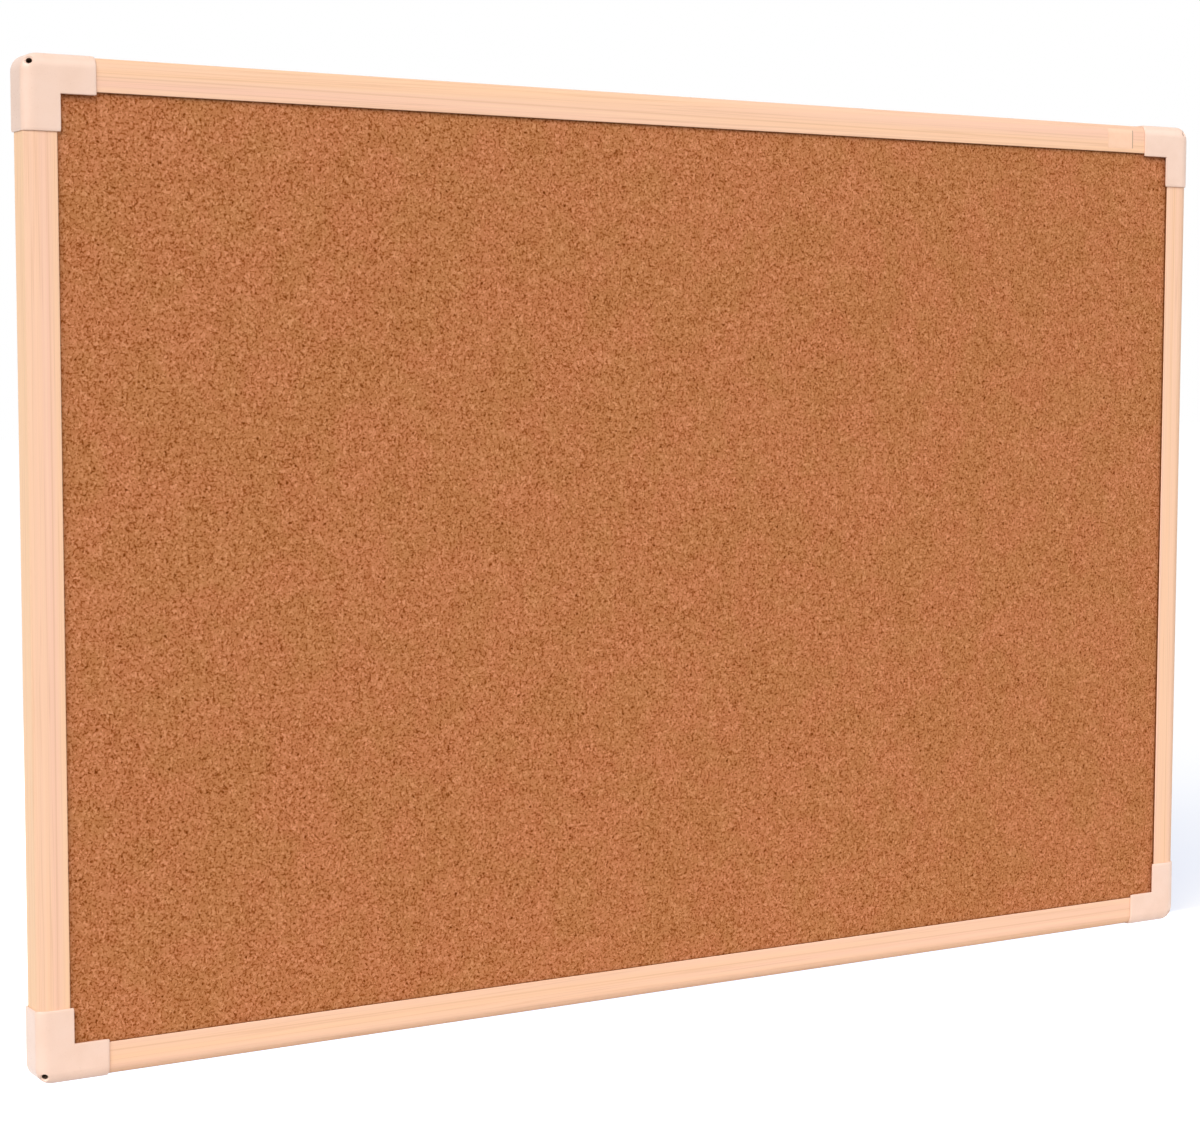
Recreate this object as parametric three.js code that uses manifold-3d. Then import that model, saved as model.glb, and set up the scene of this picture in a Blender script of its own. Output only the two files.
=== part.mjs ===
import * as THREE from 'three';
import { mergeVertices, toCreasedNormals } from 'three/addons/utils/BufferGeometryUtils.js';
import Module from 'manifold-3d';

const wasm = await Module();
wasm.setup();

// A wall-hung cork board: a laminated panel held in the grooves of four rails, whose ends meet inside
// four moulded corner caps. Lengths are millimetres. The pieces are drawn with x along the width,
// y up and z out of the wall, and the wall is z = 0. The last group turns that to z up.

// Rails
const boardWidth = 900; // over the outer faces of the side rails
const boardHeight = 600; // over the outer faces of the top and bottom rails
const railFace = 20; // width of a rail seen from the front
const railDepth = 18.5;
const railFrontRound = 7; // outer front edge, across the face
const railFrontDrop = 3.5; // the same edge in depth
const railEdgeRound = 0.8; // every other edge of a rail that shows
const grooveDepth = 8; // from the inner edge of the rail

// Panel: cork over softboard over a backing sheet
const corkRecess = 2; // from the front of the rails down to the cork
const corkThickness = 2;
const coreThickness = 9;
const backingThickness = 0.6;
const glueFilm = 0.1;
const groovePlay = 0.2; // between the panel's faces and the sides of the groove
const panelEdgePlay = 0.5; // between the panel's edges and what they end against

// Corner cap
const capArm = 44.5; // length of each arm from the cap's outer corner
const capSideWall = 0.9;
const capFrontWall = 1.1;
const capBackWall = 1.5;
const capOverhang = 1.9; // how far the front plate reaches past the rail's inner edge
const capBackReach = 16; // how far the back plate reaches in from the rail's outer face
const capEdgeRound = 0.7;
const capMouthRun = 2.2; // length over which the end of each arm is eased down to the rail
const capMouthDrop = 0.5;
const capCoreRound = 2; // what is left of the corner's round inside the front round
const sleeveFit = 0.15; // all round each rail inside the cap
const boxWall = 1.5; // walls that the ends of the rails stop against
const boxRound = 1; // their inner corner
const webThickness = 1.2; // diagonal web inside the corner

// Wall screw's tunnel through each cap
const wallScrewRadius = 1.8;
const wallScrewSinkRadius = 3.1; // mouth of the countersink
const wallScrewInset = 4.5; // from the cap's outer faces to the middle of the mouth
const tunnelWall = 1.6;
const tunnelTiltDegrees = 38; // away from the front, towards the outer corner

// Cap screws, countersunk, put in from behind
const screwHeadRadius = 2.8;
const screwHeadHeight = 1.35;
const screwShankRadius = 1.45;
const screwLength = 12;
const screwPointLength = 3;
const screwSink = 0.1; // head below the back of the cap
const screwFit = 0.15; // all round the screw in its hole
const driveLength = 3;
const driveWidth = 0.8;
const driveDepth = 1;

// How far a cut runs past the surface that it opens
const overrun = 1;

// Facets
const fineRound = 3; // rounds up to this one take the small number of steps
const roundSteps = 8; // a quarter of a large round
const edgeSteps = 3; // a quarter of a small round
const mouthSteps = 4;
const barSides = 24;
const creaseAngle = Math.PI / 7;

// Heights above the wall
const railBack = capBackWall + sleeveFit;
const railFront = railBack + railDepth;
const capFront = railFront + sleeveFit + capFrontWall;
const corkFront = railFront - corkRecess;
const corkBack = corkFront - corkThickness;
const coreFront = corkBack - glueFilm;
const coreBack = coreFront - coreThickness;
const backingFront = coreBack - glueFilm;
const backingBack = backingFront - backingThickness;
const grooveFront = corkFront + groovePlay;
const grooveBack = backingBack - groovePlay;

// Places measured inwards from the outer faces of the rails
const railEnd = railFace; // each rail stops where the next one's inner edge runs
const capFace = -sleeveFit - capSideWall;
const capEnd = capFace + capArm;
const capInner = railFace + capOverhang;
const boxFace = railEnd - sleeveFit;
const roomFace = boxFace - boxWall;
const screwPlace = (railEnd + capEnd) / 2;
const screwInset = capBackReach / 2;

// Rounds of the cap follow those of the rail inside it
const capFrontRound = railFrontRound + sleeveFit + capSideWall;
const capFrontDrop = railFrontDrop + sleeveFit + capFrontWall;
const capCornerRound = capFrontRound + capCoreRound;
const sleeveFrontRound = railFrontRound + sleeveFit;
const sleeveFrontDrop = railFrontDrop + sleeveFit;
const sleeveCornerRound = capCornerRound - capSideWall;

const finishes = {
  cork: { color: '#b67347', roughness: 0.95, metalness: 0 },
  softboard: { color: '#a08a6c', roughness: 1, metalness: 0 },
  kraftPaper: { color: '#b8956a', roughness: 0.9, metalness: 0 },
  woodFoil: { color: '#fbcfad', roughness: 0.5, metalness: 0 },
  mouldedPlastic: { color: '#f6d6c3', roughness: 0.35, metalness: 0 },
  zincPlatedSteel: { color: '#c6c9cc', roughness: 0.35, metalness: 1 },
};

// Facets that a rounded edge or corner takes
function stepsFor(round) {
  return round > fineRound ? roundSteps : edgeSteps;
}

// Points of an outline whose corners are [x, y, round, drop]. A corner with a round becomes an arc that
// touches both sides, and one without stays sharp. With a drop the arc is part of an ellipse, as wide
// as the round and as high as the drop. It is drawn as a circle's arc and then squashed along y.
function roundedOutline(corners) {
  const points = corners.flatMap(([x, y, round = 0, drop = round], i) => {
    const corner = new THREE.Vector2(x, y);
    if (round === 0) {
      return [corner];
    }
    const squash = new THREE.Vector2(1, drop / round);
    const [before, after] = [corners.at(i - 1), corners[(i + 1) % corners.length]].map(
      (neighbour) => new THREE.Vector2(...neighbour).sub(corner).divide(squash).normalize(),
    );
    const halfAngle = Math.acos(before.dot(after)) / 2;
    const centre = before.clone().add(after).setLength(round / Math.sin(halfAngle));
    const sweep = (Math.PI - 2 * halfAngle) * Math.sign(after.cross(before));
    const start = before.setLength(round / Math.tan(halfAngle)).sub(centre);
    const steps = stepsFor(round);
    return Array.from({ length: steps + 1 }, (_, step) => (
      start.clone()
        .rotateAround(new THREE.Vector2(), (sweep * step) / steps)
        .add(centre)
        .multiply(squash)
        .add(corner)
    ));
  });
  return new THREE.Shape(points);
}

// A closed geometry as a solid that can be joined and cut
function solidOf(geometry) {
  const bare = new THREE.BufferGeometry();
  bare.setAttribute('position', geometry.getAttribute('position'));
  bare.setIndex(geometry.getIndex());
  const welded = mergeVertices(bare);
  const corners = welded.getIndex().array;
  const triangles = [];
  for (let i = 0; i < corners.length; i += 3) {
    const [a, b, c] = corners.subarray(i, i + 3);
    if (a !== b && b !== c && c !== a) {
      triangles.push(a, b, c);
    }
  }
  return new wasm.Manifold(new wasm.Mesh({
    numProp: 3,
    vertProperties: welded.getAttribute('position').array,
    triVerts: Uint32Array.from(triangles),
  }));
}

function meshOf(solid, name, finish) {
  const { vertProperties, triVerts } = solid.getMesh();
  const geometry = new THREE.BufferGeometry();
  geometry.setAttribute('position', new THREE.BufferAttribute(vertProperties, 3));
  geometry.setIndex(new THREE.BufferAttribute(triVerts, 1));
  const smooth = toCreasedNormals(geometry, creaseAngle);
  const mesh = new THREE.Mesh(smooth, new THREE.MeshStandardMaterial(finish));
  mesh.name = name;
  return mesh;
}

// A solid pulled along z between two heights. If a round is given, the edges at both ends are rounded,
// by that much across and by the drop along z.
function prism(outline, low, high, round = 0, drop = round) {
  const geometry = new THREE.ExtrudeGeometry(outline, {
    depth: high - low - 2 * drop,
    bevelEnabled: round > 0,
    bevelThickness: drop,
    bevelSize: round,
    bevelOffset: -round,
    bevelSegments: stepsFor(round),
  });
  geometry.translate(0, 0, low + drop);
  return solidOf(geometry);
}

// Turns that lay a section's length along x or y. The section is drawn with x inwards from the board's
// outer faces and y out from the wall.
const alongX = new THREE.Matrix4().makeBasis(
  new THREE.Vector3(0, 1, 0),
  new THREE.Vector3(0, 0, 1),
  new THREE.Vector3(1, 0, 0),
);
const alongY = new THREE.Matrix4().makeBasis(
  new THREE.Vector3(1, 0, 0),
  new THREE.Vector3(0, 0, 1),
  new THREE.Vector3(0, -1, 0),
);

// A round bar along z between two heights, or a cone where its two radii differ
function bar(lowRadius, highRadius, low, high) {
  const geometry = new THREE.CylinderGeometry(highRadius, lowRadius, high - low, barSides);
  geometry.rotateX(Math.PI / 2);
  geometry.translate(0, 0, (low + high) / 2);
  return geometry;
}

// A rail for one side of the board, lying along x with y inwards from its outer face
function railSolid(sideLength) {
  const section = roundedOutline([
    [0, railBack, railEdgeRound],
    [railFace, railBack, railEdgeRound],
    [railFace, grooveBack],
    [railFace - grooveDepth, grooveBack],
    [railFace - grooveDepth, grooveFront],
    [railFace, grooveFront],
    [railFace, railFront, railEdgeRound],
    [0, railFront, railFrontRound, railFrontDrop],
  ]);
  const length = sideLength - 2 * railEnd;
  const geometry = new THREE.ExtrudeGeometry(section, { depth: length, bevelEnabled: false });
  geometry.translate(0, 0, -length / 2);
  geometry.applyMatrix4(alongX);
  return [-1, 1].reduce((rail, end) => {
    const hole = bar(
      screwShankRadius + screwFit,
      screwShankRadius + screwFit,
      railBack - overrun,
      screwLength + overrun,
    );
    hole.translate(end * (sideLength / 2 - screwPlace), screwInset, 0);
    return rail.subtract(solidOf(hole));
  }, solidOf(geometry));
}

// The panel's outline reaches into the grooves, and its corners are notched to clear the corner caps
function panelOutline() {
  const edge = railFace - grooveDepth + panelEdgePlay;
  const notch = railEnd + panelEdgePlay;
  const [right, top] = [boardWidth / 2 - edge, boardHeight / 2 - edge];
  const [notchRight, notchTop] = [boardWidth / 2 - notch, boardHeight / 2 - notch];
  return roundedOutline([
    [right, notchTop], [notchRight, notchTop], [notchRight, top],
    [-notchRight, top], [-notchRight, notchTop], [-right, notchTop],
    [-right, -notchTop], [-notchRight, -notchTop], [-notchRight, -top],
    [notchRight, -top], [notchRight, -notchTop], [right, -notchTop],
  ]);
}

// In a corner cap's own frame x and y run inwards along its two arms from the corner where the rails'
// outer faces would meet, and z runs out from the wall.

// A square column that holds what lies nearer the corner than a given face
function cornerColumn(face, round) {
  const low = capFace - overrun;
  return prism(
    roundedOutline([[low, low], [face, low], [face, face, round], [low, face]]),
    -overrun,
    capFront + overrun,
  );
}

// A square column that holds what lies further in along both arms than a given face
function innerColumn(face, low, high) {
  const far = capEnd + overrun;
  return prism(roundedOutline([[face, face], [far, face], [far, far], [face, far]]), low, high);
}

// A thick slab between two heights with its outer corner rounded. The edge round its front is rounded
// by a round and a drop, and the edge round its back by a round.
function roundedSlab(face, cornerRound, frontEdge, backRound, back, front) {
  const [frontRound, frontDrop] = frontEdge;
  const far = capEnd + overrun + frontRound;
  const outline = roundedOutline([[face, face, cornerRound], [far, face], [far, far], [face, far]]);
  return prism(outline, back - frontDrop, front, frontRound, frontDrop)
    .intersect(prism(outline, back, front + backRound, backRound));
}

// The two arms of the cap before they are hollowed. Their section carries on from the corner's, and
// their near ends lie inside the corner.
function armsSolid() {
  const section = roundedOutline([
    [capFace, 0, capEdgeRound],
    [capInner, 0, capEdgeRound],
    [capInner, capFront, capEdgeRound],
    [capFace, capFront, capFrontRound, capFrontDrop],
  ]);
  const start = capFace + capCornerRound;
  const length = capEnd - start - 2 * capMouthRun;
  const middle = (start + capEnd) / 2;
  const geometry = new THREE.ExtrudeGeometry(section, {
    depth: length,
    bevelThickness: capMouthRun,
    bevelSize: capMouthDrop,
    bevelOffset: -capMouthDrop,
    bevelSegments: mouthSteps,
  });
  geometry.translate(0, 0, -length / 2);
  const lying = geometry.clone().applyMatrix4(alongX).translate(middle, 0, 0);
  const standing = geometry.clone().applyMatrix4(alongY).translate(0, middle, 0);
  return solidOf(lying).add(solidOf(standing));
}

// A piece of the wall screw's tunnel, drawn along z with its mouth at z = 0, is tilted and set where
// the tunnel's axis comes out of the cap's rounded corner
function inTunnel(geometry) {
  const tiltAxis = new THREE.Vector3(1, -1, 0).normalize();
  const place = capFace + wallScrewInset;
  const roundCentre = capFace + capCornerRound;
  const fromCentre = Math.SQRT2 * (roundCentre - place) - capCoreRound;
  const rise = Math.sqrt(1 - (fromCentre / capFrontRound) ** 2);
  const height = capFront - capFrontDrop * (1 - rise);
  geometry.applyMatrix4(
    new THREE.Matrix4().makeRotationAxis(tiltAxis, THREE.MathUtils.degToRad(tunnelTiltDegrees)),
  );
  geometry.translate(place, place, height);
  return solidOf(geometry);
}

// The corner cap: an L-shaped sleeve, open inwards, with a hollow box at its corner that the rails'
// ends stop against. The box is open at the back and holds a web and the wall screw's tunnel.
function capSolid() {
  const sleeveFront = railFront + sleeveFit;
  const sleeveBack = railBack - sleeveFit;
  const capEdge = [capFrontRound, capFrontDrop];
  const sleeveEdge = [sleeveFrontRound, sleeveFrontDrop];
  const corner = roundedSlab(capFace, capCornerRound, capEdge, capEdgeRound, 0, capFront)
    .intersect(cornerColumn(capInner - capEdgeRound, 0));
  const body = corner.add(armsSolid());
  const sleeve = roundedSlab(-sleeveFit, sleeveCornerRound, sleeveEdge, 0, sleeveBack, sleeveFront);
  const inside = roundedSlab(-sleeveFit, sleeveCornerRound, sleeveEdge, 0, -overrun, sleeveFront);
  const box = cornerColumn(boxFace, boxRound);
  const room = inside.intersect(cornerColumn(roomFace, boxRound));
  const behindPlate = innerColumn(capBackReach, -overrun, sleeveBack + overrun);

  const depth = capFront + capArm;
  const tunnelRadius = wallScrewRadius + tunnelWall;
  const sinkDepth = wallScrewSinkRadius - wallScrewRadius;
  const tunnel = inTunnel(bar(tunnelRadius, tunnelRadius, -depth, 0));
  const tunnelBore = inTunnel(bar(wallScrewRadius, wallScrewRadius, -depth, overrun));
  const sink = inTunnel(bar(wallScrewRadius, wallScrewSinkRadius + overrun, -sinkDepth, overrun));

  const webGeometry = new THREE.BoxGeometry(2 * capArm, webThickness, 2 * capFront);
  webGeometry.rotateZ(Math.PI / 4);
  const ribs = tunnel.add(solidOf(webGeometry))
    .intersect(body)
    .intersect(cornerColumn((roomFace + boxFace) / 2, boxRound));

  const cap = body
    .subtract(sleeve.subtract(box))
    .subtract(behindPlate.subtract(box))
    .subtract(room)
    .add(ribs)
    .subtract(tunnelBore)
    .subtract(sink);
  return screwPlaces().reduce((drilled, [x, y]) => drilled.subtract(screwHole(x, y)), cap);
}

// The two cap screws of a corner, one in each arm
function screwPlaces() {
  return [[screwPlace, screwInset], [screwInset, screwPlace]];
}

// A countersunk hole through the cap's back plate
function screwHole(x, y) {
  const shank = bar(screwShankRadius + screwFit, screwShankRadius + screwFit, -overrun, railBack);
  const slope = (screwHeadRadius - screwShankRadius) / screwHeadHeight;
  const headEnd = screwSink + screwHeadHeight;
  const head = bar(
    screwShankRadius + screwFit + slope * (headEnd + overrun),
    screwShankRadius + screwFit,
    -overrun,
    headEnd,
  );
  shank.translate(x, y, 0);
  head.translate(x, y, 0);
  return solidOf(shank).add(solidOf(head));
}

// A countersunk screw with a cross drive, its head towards the wall
function screwSolid() {
  const profile = [
    [0, screwSink],
    [screwHeadRadius, screwSink],
    [screwShankRadius, screwSink + screwHeadHeight],
    [screwShankRadius, screwLength - screwPointLength],
    [0, screwLength],
  ].map(([radius, height]) => new THREE.Vector2(radius, height));
  const geometry = new THREE.LatheGeometry(profile, barSides);
  geometry.rotateX(Math.PI / 2);
  const [long, short] = [driveLength / 2, driveWidth / 2];
  const cross = roundedOutline([
    [long, -short], [long, short], [short, short], [short, long],
    [-short, long], [-short, short], [-long, short], [-long, -short],
    [-short, -short], [-short, -long], [short, -long], [short, -short],
  ]);
  return solidOf(geometry).subtract(prism(cross, -overrun, screwSink + driveDepth));
}

// Assembly
const board = new THREE.Group();

const panelShape = panelOutline();
board.add(
  meshOf(prism(panelShape, corkBack, corkFront), 'cork_sheet', finishes.cork),
  meshOf(prism(panelShape, coreBack, coreFront), 'softboard_core', finishes.softboard),
  meshOf(prism(panelShape, backingBack, backingFront), 'backing_sheet', finishes.kraftPaper),
);

// Each side is a quarter turn on from the one before it, and so is the corner at its far end
const capBody = capSolid();
const screwBody = screwSolid();
const quarters = [
  { rail: 'rail_bottom', corner: 'bottom_left', side: [0, -1], cornerSide: [-1, -1] },
  { rail: 'rail_right', corner: 'bottom_right', side: [1, 0], cornerSide: [1, -1] },
  { rail: 'rail_top', corner: 'top_right', side: [0, 1], cornerSide: [1, 1] },
  { rail: 'rail_left', corner: 'top_left', side: [-1, 0], cornerSide: [-1, 1] },
];
quarters.forEach(({ rail, corner, side, cornerSide }, turn) => {
  const railGroup = new THREE.Group();
  railGroup.rotation.z = (turn * Math.PI) / 2;
  railGroup.position.set((side[0] * boardWidth) / 2, (side[1] * boardHeight) / 2, 0);
  railGroup.add(meshOf(railSolid(side[0] === 0 ? boardWidth : boardHeight), rail, finishes.woodFoil));

  const cornerGroup = new THREE.Group();
  cornerGroup.rotation.z = (turn * Math.PI) / 2;
  cornerGroup.position.set((cornerSide[0] * boardWidth) / 2, (cornerSide[1] * boardHeight) / 2, 0);
  cornerGroup.add(meshOf(capBody, `corner_cap_${corner}`, finishes.mouldedPlastic));
  screwPlaces().forEach(([x, y], i) => {
    const screw = meshOf(screwBody, `cap_screw_${corner}_${i + 1}`, finishes.zincPlatedSteel);
    screw.position.set(x, y, 0);
    cornerGroup.add(screw);
  });
  board.add(railGroup, cornerGroup);
});

board.rotation.x = Math.PI / 2;

const corkBoard = new THREE.Group();
corkBoard.name = 'cork_board';
corkBoard.add(board);

export default corkBoard;
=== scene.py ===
import math

import bmesh
import bpy
import numpy as np
from mathutils import Matrix, Vector


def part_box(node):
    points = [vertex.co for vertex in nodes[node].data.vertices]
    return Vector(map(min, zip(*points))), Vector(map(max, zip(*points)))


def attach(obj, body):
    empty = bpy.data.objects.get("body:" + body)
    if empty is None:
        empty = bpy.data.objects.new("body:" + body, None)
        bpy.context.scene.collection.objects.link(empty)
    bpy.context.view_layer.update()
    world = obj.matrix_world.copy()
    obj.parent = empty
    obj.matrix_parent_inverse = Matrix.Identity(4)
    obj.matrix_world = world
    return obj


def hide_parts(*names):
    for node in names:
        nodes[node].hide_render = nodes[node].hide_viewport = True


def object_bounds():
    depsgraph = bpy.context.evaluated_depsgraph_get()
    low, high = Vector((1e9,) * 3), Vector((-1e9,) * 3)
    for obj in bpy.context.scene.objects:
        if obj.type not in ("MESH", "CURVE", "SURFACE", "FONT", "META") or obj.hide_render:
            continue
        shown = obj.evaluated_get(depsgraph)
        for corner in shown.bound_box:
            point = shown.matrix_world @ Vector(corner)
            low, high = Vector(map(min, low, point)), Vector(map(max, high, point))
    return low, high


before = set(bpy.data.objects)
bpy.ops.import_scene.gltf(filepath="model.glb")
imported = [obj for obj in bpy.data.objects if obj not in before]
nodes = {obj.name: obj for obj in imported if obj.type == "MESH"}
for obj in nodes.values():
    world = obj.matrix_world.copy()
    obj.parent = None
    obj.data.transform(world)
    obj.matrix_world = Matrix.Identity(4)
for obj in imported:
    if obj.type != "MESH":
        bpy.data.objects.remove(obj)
cad_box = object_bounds()

MM = 0.001

# Places read from the frame. The wall is y = 0, the board faces -Y and up is +Z, so a height above the
# wall is -y.
top_rail_low, top_rail_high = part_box("rail_top")
cork_low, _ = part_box("cork_sheet")
_, backing_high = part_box("backing_sheet")
rail_face = top_rail_high.z - top_rail_low.z
rail_front = -top_rail_low.y
rail_back = -top_rail_high.y
board_top = top_rail_high.z

# Section of a rail, as the solids have it
rail_front_round = 7 * MM
rail_front_drop = 3.5 * MM
rail_edge_round = 0.8 * MM
lip_edge_round = 0.4 * MM
groove_depth = 8 * MM
groove_play = 0.2 * MM
foil_thickness = 0.15 * MM
foil_lap_outside = 6 * MM  # how far the foil reaches over the back from the outer face
foil_lap_inside = 3.5 * MM
lip_reach = 3 * MM  # a face whose middle is nearer than this to the rail's inner edge is on a lip
lip_shade_short = 0.4  # share of the round at the rail's front inner edge that the painted shade leaves free
foil_step = 3.1  # metres along the printed foil from one rail's piece to the next

# Wall screw's tunnel through each cap, its places measured in from both of the cap's outer faces
tunnel_radius = 1.8 * MM
tunnel_radius_play = 0.04 * MM
tunnel_mouth = 4.5 * MM
tunnel_mouth_height = 19.9 * MM
tunnel_end = 15.5 * MM  # at the wall

# Countersunk cap screw, 3 x 12 mm
screw_head_radius = 2.8 * MM
screw_head_height = 1.35 * MM
screw_core_radius = 1.05 * MM
screw_crest_radius = 1.45 * MM
screw_point_length = 3 * MM
screw_tip_radius = 0.03 * MM
screw_pitch = 1.35 * MM
screw_smooth_length = 0.6 * MM  # below the head
drive_wing_length = 3 * MM
drive_wing_width = 0.8 * MM
drive_depth = 1 * MM
drive_wall_run = 0.25 * MM  # how far the drive's walls slope inwards

# Blank label on the top rail
label_right = 395 * MM  # from the board's middle
label_width = 24 * MM
label_near_inner = 2.9 * MM  # from the rail's inner edge
label_height = 13.9 * MM
label_thickness = 0.15 * MM
label_corner = 1 * MM
label_dark_line = 0.8 * MM  # width of the dark line along its right edge

# The floor, and where it is burnt out in the photograph
floor_reach = 12.0  # metres each way
floor_gap = 0.05 * MM
burnt_before = (-20 * MM, 4 * MM)  # fades out between these places, towards the wall
burnt_beside = (-150 * MM, 50 * MM)  # and between these, to the right
burnt_glow = 0.7

# Camera, worked out from the four edges of the frame in the photograph
camera_place = Vector((-933.3, -1457.5, 125.1)) * MM
camera_right = Vector((0.85600, -0.51698, 0.00200))
camera_up = Vector((0.04013, 0.07031, 0.99672))
image_width = 1200  # pixels
focal_pixels = 2564
sensor_width = 36  # millimetres, as Blender counts it


def linear(hex_colour):
    """An sRGB hex colour as linear red, green, blue and alpha."""
    channels = [int(hex_colour[i:i + 2], 16) / 255 for i in (1, 3, 5)]
    return [c / 12.92 if c <= 0.04045 else ((c + 0.055) / 1.055) ** 2.4 for c in channels] + [1]


def add(tree, kind, inputs=(), stops=(), **settings):
    """Adds a node. Inputs are values or sockets by name or number, stops a ramp's places and colours."""
    node = tree.nodes.new(kind)
    for name, value in settings.items():
        setattr(node, name, value)
    for key, value in dict(inputs).items():
        if isinstance(value, bpy.types.NodeSocket):
            tree.links.new(value, node.inputs[key])
        else:
            node.inputs[key].default_value = value
    for i, (place, colour) in enumerate(stops):
        elements = node.color_ramp.elements
        element = elements[i] if i < len(elements) else elements.new(place)
        element.position = place
        element.color = linear(colour)
    return node


def new_material(name):
    """A material of that name with its node tree emptied, and its output."""
    material = bpy.data.materials.new(name)
    material.use_nodes = True
    material.node_tree.nodes.clear()
    return material, material.node_tree, add(material.node_tree, "ShaderNodeOutputMaterial")


def agglomerated_cork():
    """Bark granules pressed with a binder, cut into a sheet and sanded.

    To the eye: small flat grains with soft corners in a mid brown, short dark marks of bark along
    parts of their edges, small pale and dark crumbs between them, a few open pits, and a slow change
    between a pinkish and a yellower brown. All quite matt. The grains of such a sheet are 1 to 4 mm, and
    they are drawn near the upper end here, as in the photograph, so that they show from two metres.
    Each part adds its share to a tone from 0 to 1, which the ramp turns into colour.
    """
    granule = 3.3 * MM
    crumb = 1.5 * MM
    speck = 0.9 * MM
    bend = 2 * MM
    bend_depth = 2 * MM
    pit = 5 * MM
    patch = 30 * MM
    relief = 0.2 * MM
    material, tree, output = new_material("agglomerated_cork")
    place = add(tree, "ShaderNodeTexCoord").outputs["Object"]

    wander = add(tree, "ShaderNodeTexNoise", {"Vector": place, "Scale": 1 / bend, "Detail": 1})
    centred = add(tree, "ShaderNodeVectorMath", {0: wander.outputs["Color"], 1: (0.5, 0.5, 0.5)},
                  operation="SUBTRACT")
    warp = add(tree, "ShaderNodeVectorMath", {0: centred.outputs[0], "Scale": bend_depth},
               operation="SCALE")
    warped = add(tree, "ShaderNodeVectorMath", {0: place, 1: warp.outputs[0]}).outputs[0]

    grains = add(tree, "ShaderNodeTexVoronoi", {"Vector": warped, "Scale": 1 / granule})
    seams = add(tree, "ShaderNodeTexVoronoi", {"Vector": warped, "Scale": 1 / granule},
                feature="DISTANCE_TO_EDGE")
    crumbs = add(tree, "ShaderNodeTexVoronoi", {"Vector": warped, "Scale": 1 / crumb})
    pits = add(tree, "ShaderNodeTexVoronoi", {"Vector": warped, "Scale": 1 / pit})
    specks = add(tree, "ShaderNodeTexNoise", {"Vector": place, "Scale": 1 / speck, "Detail": 1})
    broken = add(tree, "ShaderNodeTexNoise", {"Vector": place, "Scale": 1 / crumb, "Detail": 1})
    grain_tone = add(tree, "ShaderNodeSeparateColor", {0: grains.outputs["Color"]}).outputs
    crumb_tone = add(tree, "ShaderNodeSeparateColor", {0: crumbs.outputs["Color"]}).outputs
    pit_tone = add(tree, "ShaderNodeSeparateColor", {0: pits.outputs["Color"]}).outputs

    seam = add(tree, "ShaderNodeMapRange", {0: seams.outputs["Distance"], 1: 0.10, 2: 0.23, 3: 1.0, 4: 0.0})
    drawn = add(tree, "ShaderNodeMapRange", {0: broken.outputs[0], 1: 0.51, 2: 0.56, 3: 0.0, 4: 1.0})
    bark = add(tree, "ShaderNodeMath", {0: seam.outputs[0], 1: drawn.outputs[0]}, operation="MULTIPLY")
    chip = add(tree, "ShaderNodeMapRange", {0: crumb_tone[2], 1: 0.80, 2: 0.86, 3: 0.0, 4: 1.0})
    dark_chip = add(tree, "ShaderNodeMapRange", {0: crumb_tone[2], 1: 0.16, 2: 0.10, 3: 0.0, 4: 1.0})
    hole = add(tree, "ShaderNodeMapRange", {0: pits.outputs["Distance"], 1: 0.10, 2: 0.22, 3: 1.0, 4: 0.0})
    has_hole = add(tree, "ShaderNodeMath", {0: pit_tone[0], 1: 0.55}, operation="GREATER_THAN")
    open_hole = add(tree, "ShaderNodeMath", {0: hole.outputs[0], 1: has_hole.outputs[0]},
                    operation="MULTIPLY")

    tone = 0.357  # with none of the parts added
    for part, share in (
        (grain_tone[0], 0.08),
        (crumb_tone[1], 0.08),
        (specks.outputs[0], 0.17),
        (chip.outputs[0], 0.13),
        (dark_chip.outputs[0], -0.12),
        (bark.outputs[0], -0.28),
        (open_hole.outputs[0], -0.34),
    ):
        sum_so_far = add(tree, "ShaderNodeMath", {0: part, 1: share, 2: tone}, operation="MULTIPLY_ADD")
        tone = sum_so_far.outputs[0]
    shade = add(tree, "ShaderNodeValToRGB", {0: tone}, stops=[
        (0.0, "#6d3008"), (0.25, "#985427"), (0.5, "#bc7a4f"), (0.7, "#d49269"), (1.0, "#ebad86"),
    ])

    drift = add(tree, "ShaderNodeTexNoise", {"Vector": place, "Scale": 1 / patch, "Detail": 2})
    drift_part = add(tree, "ShaderNodeMapRange", {0: drift.outputs[0], 1: 0.38, 2: 0.62, 3: 0.0, 4: 1.0})
    tint = add(tree, "ShaderNodeMix",
               {0: drift_part.outputs[0], 6: linear("#fff8f6"), 7: linear("#f8f8eb")}, data_type="RGBA")
    tinted = add(tree, "ShaderNodeMix", {0: 1.0, 6: shade.outputs[0], 7: tint.outputs[2]},
                 data_type="RGBA", blend_type="MULTIPLY")

    bump = add(tree, "ShaderNodeBump", {"Strength": 0.4, "Distance": relief, "Height": tone})
    shader = add(tree, "ShaderNodeBsdfPrincipled", {
        "Base Color": tinted.outputs[2],
        "Roughness": 0.95,
        "IOR": 1.3,
        "Specular IOR Level": 0.25,
        "Normal": bump.outputs[0],
    })
    tree.links.new(shader.outputs[0], output.inputs[0])
    return material


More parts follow.
